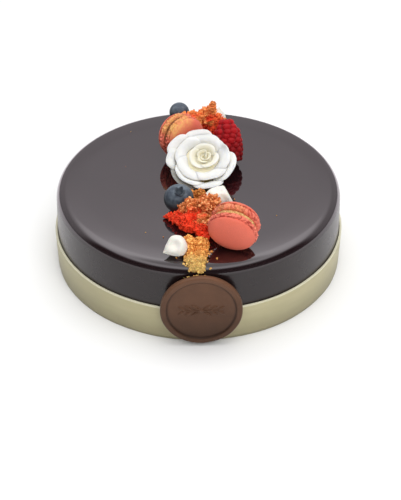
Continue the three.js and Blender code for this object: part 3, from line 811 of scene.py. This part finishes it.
def rose_cup():
    """The solid middle of the rose, from its foot to where the petals hide it."""
    profile = np.vstack([
        [(0, -ROSE_FOOT_RADIUS)],
        line((ROSE_FOOT_RADIUS, -ROSE_FOOT_RADIUS), (ROSE_FOOT_RADIUS, 0), 3),
        line((ROSE_FOOT_RADIUS, 0), (ROSE_CUP_RADIUS, ROSE_CUP_HEIGHT), 8),
        line((ROSE_CUP_RADIUS, ROSE_CUP_HEIGHT), (0, ROSE_CUP_HEIGHT), 4),
        [(0, ROSE_CUP_HEIGHT)],
    ])
    points, faces = revolved(profile, segments=64)
    return points, faces, np.zeros(len(points))


def sugar_rose():
    """Petals round a heart in a cup, leaning towards the front, tinted darker ivory towards the heart and
    creamy in the gaps between them, with painted shade on one low petal.
    """
    random = np.random.default_rng(19)
    shapes = [rose_cup()]
    shades = [np.ones(len(shapes[0][0]))]
    for ring in ROSE_PETALS:
        sizes = {name: ring[name] * MM for name in ("throat", "rise", "lip")}
        edge = math.radians(ring.get("edge", OUTER_EDGE))
        shift = ring.get("follow", ROSE_OUTER_FOLLOW) * ROSE_HEART_SHIFT
        for turn in np.radians(ring["turns"]):
            wave = random.uniform(0.3, 0.7) * MM
            shape = {"half_angle": ring["half"], "straight": ring.get("straight", 0), "wave": wave}
            points, faces, open_share = petal(turn, edge=edge, **sizes, **shape)
            shapes.append((points + shift, faces, open_share))
            shades.append(np.full(len(points), ring.get("shade", 1)))
    points, faces = joined(shapes)
    for axis, seed in enumerate((21, 22, 23)):
        points[:, axis] += 0.45 * MM * grain(points, 7 * MM, seed)
    open_share = np.concatenate([shape[2] for shape in shapes])
    from_heart = np.linalg.norm((points - ROSE_HEART_SHIFT)[:, :2], axis=1)
    crevice = blended(step(from_heart, 8 * MM, 16 * MM), srgb(248, 240, 214), srgb(244, 226, 160))
    face = blended(step(from_heart, 4 * MM, 13 * MM), srgb(228, 222, 198), srgb(238, 236, 229))
    # Painted shade: petals with a shade value are darkened by it.
    tint = blended(step(open_share, 0.3, 0.55), crevice, face) * np.concatenate(shades)[:, None]
    tilted = points @ np.array(Matrix.Rotation(ROSE_TILT, 3, "X")).T + (*ROSE_SPOT, ROSE_LIFT)
    tilted[:, 2] = np.maximum(tilted[:, 2], 0) + ROSE_FLOOR
    make_piece("sugar_rose", (tilted, faces), sugar_finish(), ["rose"], tint)


# The berries

def ripe_raspberry():
    """Staggered rings of drupelets on a tapering core, with painted shade darker towards the foot and between
    the drupelets.
    """
    random = np.random.default_rng(41)

    def swell(t):
        return np.sqrt(max(0.0, 1 - ((t - 0.38) / 0.64) ** 2))

    heights = np.linspace(0, 0.96, 20)
    flank = [(RASPBERRY_RADIUS * swell(t) - 0.42 * DRUPELET_RADIUS, t * RASPBERRY_LENGTH) for t in heights]
    shapes = [revolved(np.array([(0, 0), *flank, (0, 0.98 * RASPBERRY_LENGTH)]), 48)]
    tints = [np.tile(srgb(128, 14, 20), (len(shapes[0][0]), 1))]
    ball = revolved(arc(0, 0, 1, -90, 90, 14), 22)
    rings = 9
    for ring in range(rings):
        t = 0.06 + 0.87 * ring / (rings - 1)
        reach = RASPBERRY_RADIUS * swell(t) - DRUPELET_RADIUS
        count = max(4, round(2 * math.pi * reach / (1.5 * DRUPELET_RADIUS)))
        for i in range(count):
            angle = (i + ring / 2 + 0.12 * random.uniform(-1, 1)) / count * 2 * math.pi
            size = DRUPELET_RADIUS * random.uniform(0.94, 1.12)
            bead = ball[0] * (size, size, 0.9 * size)
            spot = (reach * math.cos(angle), reach * math.sin(angle), t * RASPBERRY_LENGTH)
            shapes.append((bead + spot, ball[1]))
            # Painted light and shade: each drupelet is lighter on its outward face and darker where it turns
            # inward, with a random ripeness; the berry is painted darker towards its foot.
            outer = (ball[0] @ np.array((math.cos(angle), math.sin(angle), 0.5 * t))).clip(-1, 1)
            ripe_and_outward_lit = step(outer, -0.4, 0.9) * random.uniform(0.75, 1)
            tints.append((0.4 + 0.8 * t) * blended(ripe_and_outward_lit, srgb(96, 7, 14), srgb(174, 17, 25)))
    points, faces = joined(shapes)
    points[:, 2] = np.maximum(points[:, 2], 0)
    placed = seated(points, towards(RASPBERRY_AXIS), "raspberry")
    finish = raspberry_finish()
    make_piece("ripe_raspberry", (placed, faces), finish, ["raspberry"], np.vstack(tints))


def ripe_blueberry(node, finish, radius, axis):
    """A berry with a five-pointed crown round a dimple, with painted shade towards the foot and in the
    dimple, and the crown darker in its own colour.
    """
    skin = arc(0, 0, radius, -90, 71, 44) * (1, 0.9)
    skin[0, 0] = 0
    crown = [(0.31, 0.92), (0.3, 0.96), (0.27, 0.975), (0.235, 0.95), (0.2, 0.87), (0.15, 0.76), (0, 0.74)]
    points, faces = revolved(np.vstack([skin, radius * np.array(crown)]), segments=120)
    angle = np.arctan2(points[:, 1], points[:, 0])
    out = np.hypot(points[:, 0], points[:, 1])
    lobe = 0.5 + 0.5 * np.cos(5 * angle + 0.4 * np.sin(angle))
    on_crown = step(points[:, 2], 0.87 * radius, 0.95 * radius) * step(out, 0.17 * radius, 0.24 * radius)
    points[:, 2] += 0.1 * radius * on_crown * (lobe - 0.4)
    points[:, :2] *= 1 + (0.3 * on_crown * lobe)[:, None]
    points *= 1 + 0.012 * grain(points, 0.8 * radius, 7)[:, None]
    # Darker crown and dimple: the crown's own colour, and painted shade in the dimple.
    dark = np.maximum(on_crown, step(-out, -0.28 * radius, -0.2 * radius) * (points[:, 2] > 0))
    placed = seated(points, towards(axis), node)
    # Painted shade: the berry is darker towards its foot.
    height = (placed[:, 2] - placed[:, 2].min()) / (2 * radius)
    shade = (0.2 + 0.8 * step(height, 0.35, 0.95)) * (1 - 0.5 * dark)
    make_piece(f"{node}_ripe", (placed, faces), finish, [node], shade[:, None])


# The meringue kisses

def meringue_kiss(node, finish, seed, radius, length, rounding, taper, hollow=0, slide=0, lift=0):
    """A rounded foot drawn out into a point, uneven all round, with a hollow pressed into its front."""
    t = np.linspace(0, 1, 44)
    flank = np.stack([radius * np.cos(t * np.pi / 2) ** taper, rounding + (length - rounding) * t], 1)
    flank[-1, 0] = 0
    foot = arc(radius - rounding, rounding, rounding, -90, 0, 12)
    points, faces = revolved(MM * np.vstack([line((0, 0), foot[0], 4), foot[:-1], flank]), segments=96)
    angle = np.arctan2(points[:, 1], points[:, 0])
    height = points[:, 2] / (length * MM)
    sides = 0.05 * np.sin(2 * angle + seed + 2 * height) + 0.03 * np.sin(5 * angle - seed)
    lumps = 0.12 * grain(points, 6 * MM, seed) + 0.05 * grain(points, 2.5 * MM, seed + 1)
    points[:, :2] *= (1 + sides + lumps)[:, None]
    axis = np.array(MERINGUE_AXES[node])
    placed = seated(points, towards(axis), node) + slide * MM * axis
    placed[:, 2] += lift * MM * height
    front = placed[np.argmax(placed @ HOLLOW_SIDE)]
    pressed = np.exp(-((np.linalg.norm(placed - front, axis=1) / (0.45 * radius * MM)) ** 2))
    placed = placed - np.outer(hollow * radius * MM * pressed, HOLLOW_SIDE)
    make_piece(f"{node}_piped", (placed, faces), finish, [node])


# The torn sponge and the crumb

def open_pores(points, seed):
    """Torn walls round open pores, from 0 deep in a pore to 1 on a wall."""
    wide = 1 - np.minimum(1, 1.7 * np.abs(grain(points, 3 * MM, seed)))
    fine = 1 - np.minimum(1, 1.7 * np.abs(grain(points, 1.5 * MM, seed + 1)))
    return 0.55 * wide ** 1.5 + 0.3 * fine ** 1.5 + 0.15 * billow(points, 0.9 * MM, seed + 2)


def packed_lumps(points, seed):
    """Rounded lumps pressed together, from 0 in the creases between them to 1."""
    wide = 0.45 * billow(points, 2.4 * MM, seed) + 0.3 * billow(points, 1.3 * MM, seed + 1)
    return wide + 0.25 * billow(points, 0.7 * MM, seed + 2)


def crumbling_core(node, texture, rough, seed):
    """A finer copy of a node's solid with a rough surface, and how far each point of it stands out."""
    voxel = 0.5 * MM
    source = add_object("core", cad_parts[node].data.copy())
    remesh = source.modifiers.new("remesh", "REMESH")
    remesh.mode = "VOXEL"
    remesh.voxel_size = voxel
    dense = bpy.data.meshes.new_from_object(source.evaluated_get(bpy.context.evaluated_depsgraph_get()))
    points = gathered(dense.vertices, "co")
    normals = gathered(dense.vertices, "normal")
    dense.calc_loop_triangles()
    triangles = gathered(dense.loop_triangles, "vertices", np.int32)
    copied = source.data
    bpy.data.objects.remove(source)
    bpy.data.meshes.remove(copied)
    bpy.data.meshes.remove(dense)
    relief = texture(points, seed)
    above = step(points[:, 2] - points[:, 2].min(), 0, 2 * voxel)
    return points + normals * (rough * above * (relief - 0.5))[:, None], triangles, relief


def heap(name, node, tint, slot, finish, texture, count, sizes, stretch, rough, seed):
    """A heap of crumb: loose grains over a rough core. The tint takes places and how far they stand out; on
    the core that paints shade in the hollows, and the grains get values drawn at random.
    """
    random = np.random.default_rng(seed)
    core, triangles, relief = crumbling_core(node, texture, rough, seed)
    spots, normals = scattered(core, triangles, count, random)
    shown = normals[:, 2] > -0.35
    spots, normals = spots[shown], normals[shown]
    size = sizes[0] + (sizes[1] - sizes[0]) * random.random(len(spots)) ** 2
    spots = spots + normals * (0.3 * size)[:, None]
    spots[:, 2] = np.maximum(spots[:, 2], core[:, 2].min() + 0.4 * size)
    points, faces, corners = grains_at(spots, size, stretch, random)
    grain_tint = tint(spots, random.uniform(0.25, 1.1, len(spots)))
    colours = np.vstack([tint(core, relief), np.repeat(grain_tint, corners, axis=0)])
    shape = np.vstack([core, points]), np.vstack([triangles, faces + len(core)])
    make_piece(name, shape, finish, [node], colours, smooth=False)


def sponge_front_tint(points, relief):
    """Bright red where the sponge is torn open at the front left, toasted higher up and to the right, with
    painted light on its high points and painted shade in its pores.
    """
    crown_line = 20.8 * MM
    right_line = 1.5 * MM
    right_foot = 13 * MM
    up_slope = 0.61 * points[:, 1] + 0.79 * points[:, 2]
    crown = (up_slope - crown_line) / (4 * MM)
    right = np.minimum((points[:, 0] - right_line) / (5 * MM), (up_slope - right_foot) / (4 * MM))
    toasted = np.maximum(crown, right) + 0.95 * grain(points, 4 * MM, 61) + 0.5 * grain(points, 1.5 * MM, 62)
    toasted = step(toasted, -0.5, 0.7)
    # Painted light and shade: the toasted crumb is lighter on high relief, and all of it is darker where the
    # core lies low.
    toast = blended(step(relief, 0.6, 1), srgb(214, 118, 62), srgb(246, 176, 120))
    colours = blended(toasted, srgb(255, 76, 44), toast)
    return colours * (0.6 + 0.6 * relief)[:, None]


def sponge_back_tint(points, relief):
    """Toasted orange above, red below, with painted shade in its pores."""
    toast_line = 67 * MM
    toasted = (points[:, 2] - toast_line) / (10 * MM) + 1.1 * grain(points, 4 * MM, 67)
    colours = blended(step(toasted, -0.4, 0.7), srgb(242, 74, 42), srgb(246, 152, 88))
    # Painted shade: darker where the core lies low.
    return colours * (0.66 + 0.6 * relief)[:, None]


def crumb_tint(points, relief):
    """Golden biscuit, paler where it spills over the rim, with painted light on its lumps and painted shade
    in its creases.
    """
    spilled = step(-points[:, 1], 84 * MM, 94 * MM)
    # Painted light and shade: lighter gold on the lumps, darker in the creases.
    gold = blended(step(relief, 0.4, 1), srgb(220, 140, 64), srgb(248, 190, 110))
    colours = blended(0.9 * spilled, gold, srgb(218, 184, 112))
    return colours * (0.55 + 0.76 * relief)[:, None]


def shaded_crumb_tint(points, relief):
    """Biscuit with painted shade: darker under the rose, lighter on its lumps and darker in its creases."""
    # Painted shade: darker colours for the rose's shadow, and darker still where the core lies low.
    colours = blended(step(relief, 0.4, 1), srgb(196, 116, 48), srgb(232, 160, 84))
    return colours * (0.5 + 0.7 * relief)[:, None]


def fallen_crumbs(finish):
    """Loose crumbs round the front heap and below it, on the medallion's edge and all over the top."""
    random = np.random.default_rng(71)
    rolled_count = 40
    side = random.normal(-1 * MM, 5.5 * MM, rolled_count)
    lean = np.abs(random.normal(0.3, 0.5, rolled_count)).clip(0, 1.4)
    out = TOP_RADIUS - SHOULDER + SHOULDER * np.sin(lean)
    height = CAKE_HEIGHT - RIM_DROOP - SHOULDER + SHOULDER * np.cos(lean)
    rolled = np.stack([side, -np.sqrt(out ** 2 - side ** 2), height], 1)
    strewn_count = 26
    side = random.normal(-1 * MM, 8 * MM, strewn_count)
    front = random.uniform(-88, -66, strewn_count) * MM
    strewn = np.stack([side, front, np.full(strewn_count, CAKE_HEIGHT)], 1)
    low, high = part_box("medallion")
    middle = (low + high) / 2
    caught_count = 9
    caught = np.array([(middle.x, high.y - MM, middle.z)] * caught_count)
    turn = np.radians(random.uniform(66, 114, caught_count))
    caught[:, 0] += MEDALLION_RADIUS * np.cos(turn)
    caught[:, 2] += MEDALLION_RADIUS * np.sin(turn)
    blown_count = 9
    turn = random.uniform(0, 2 * np.pi, blown_count)
    out = 85 * MM * np.sqrt(random.random(blown_count))
    blown = np.stack([out * np.cos(turn), out * np.sin(turn), np.full(blown_count, CAKE_HEIGHT)], 1)
    spots = np.vstack([rolled, strewn, caught, blown])
    sizes = random.uniform(0.35, 0.95, len(spots)) * MM
    sizes[-caught_count - blown_count:] *= 0.6
    away = spots / np.linalg.norm(spots, axis=1, keepdims=True)
    points, faces, corners = grains_at(spots + away * (0.4 * sizes)[:, None], sizes, (0.6, 1.3), random)
    tint = np.repeat(crumb_tint(spots, random.uniform(0.5, 1, len(spots))), corners, axis=0)
    make_piece("fallen_crumbs", (points, faces), finish, (), tint, smooth=False)


# The studio

def pale_floor():
    reach = 4.0
    below = -0.2 * MM
    corners = [(reach * x, reach * y, below) for x, y in ((-1, -1), (1, -1), (1, 1), (-1, 1))]
    mesh = bpy.data.meshes.new("pale_floor")
    mesh.from_pydata(corners, [], [(0, 1, 2, 3)])
    mesh.materials.append(floor_finish().material)
    floor = add_object("pale_floor", mesh)


def studio_light():
    """A soft white dome, bright behind the cake, and two soft panels that the glaze doesn't mirror."""
    world = bpy.data.worlds.new("soft_dome")
    world.use_nodes = True
    bpy.context.scene.world = world
    dome = Tree(world.node_tree)
    direction = dome.node("TexCoord", output="Generated")
    height = dome.node("SeparateXYZ", None, {"Vector": direction}, "Z")
    backward = dome.node("SeparateXYZ", None, {"Vector": direction}, "Y").between(-0.15, 0.25)
    behind = dome.node("ValToRGB", {"stops": SKY_BEHIND}, {"Fac": height}, "Color")
    before = dome.node("ValToRGB", {"stops": SKY_BEFORE}, {"Fac": height}, "Color")
    sides = {"Factor_Float": backward, "A_Color": before, "B_Color": behind}
    glow = dome.node("Mix", {"data_type": "RGBA"}, sides, "Result_Color")
    background = world.node_tree.nodes["Background"]
    dome.feed(background.inputs["Color"], glow)
    dome.feed(background.inputs["Strength"], DOME_STRENGTH)

    for panel in PANELS:
        light = bpy.data.lights.new(panel["name"], "AREA")
        light.energy = panel["power"]
        light.size = PANEL_SIZE
        fill = add_object(panel["name"], light)
        fill.location = panel["place"]
        fill.rotation_euler = (-fill.location).to_track_quat("-Z", "Y").to_euler()
        fill.visible_glossy = False


def photo_camera():
    lens = bpy.data.cameras.new("photo_camera")
    lens.lens = CAMERA_LENS
    camera = add_object("photo_camera", lens)
    camera.location = CAMERA_EYE
    camera.rotation_euler = (CAMERA_TARGET - CAMERA_EYE).to_track_quat("-Z", "Y").to_euler()
    bpy.context.scene.camera = camera


def main():
    photo_camera()
    studio_light()
    pale_floor()
    bpy.context.scene.view_settings.view_transform = "Standard"

    glazed_cake()
    pale_band()
    moulded_medallion()
    shell = macaron_finish()
    gold_cream = cream_finish("gold_cream", srgb(168, 116, 58), srgb(232, 190, 128))
    # Painted shade: the back macaron's filling is a darker brown copy of the cream, for its shade in the
    # narrow gap.
    shaded_brown_cream = cream_finish("shaded_brown_cream", srgb(92, 48, 22), srgb(160, 98, 48))
    macaron("macaron_front", shell, gold_cream, seed=100, dust=0.35, reach=(2.5 * MM, 6.5 * MM))
    macaron("macaron_back", shell, shaded_brown_cream, seed=200, dust=0.9, reach=(10.5 * MM, 6 * MM))
    sugar_rose()
    ripe_raspberry()
    skin = blueberry_finish()
    for node, sizes in BLUEBERRIES.items():
        ripe_blueberry(node, skin, **sizes)
    dry = meringue_finish()
    for seed, (node, sizes) in zip((1, 3, 5), MERINGUES.items()):
        meringue_kiss(node, dry, seed, **sizes)
    torn = crumb_finish("torn_sponge", roughness=0.72)
    biscuit = crumb_finish("biscuit_crumb", roughness=0.7)
    sponge = {
        "slot": "sponge", "finish": torn, "texture": open_pores, "rough": 3 * MM,
        "sizes": (0.3 * MM, 0.9 * MM), "stretch": (0.4, 1.8),
    }
    crumb = {
        "slot": "crumb", "finish": biscuit, "texture": packed_lumps, "rough": 2 * MM,
        "sizes": (0.35 * MM, 0.9 * MM), "stretch": (0.6, 1.3),
    }
    heap("front_sponge", "sponge_front", sponge_front_tint, count=2000, seed=81, **sponge)
    heap("back_sponge", "sponge_back", sponge_back_tint, count=1200, seed=83, **sponge)
    heap("front_crumb", "crumb_front", crumb_tint, count=1000, seed=85, **crumb)
    heap("middle_crumb", "crumb_middle", shaded_crumb_tint, count=350, seed=87, **crumb)
    fallen_crumbs(biscuit)


main()
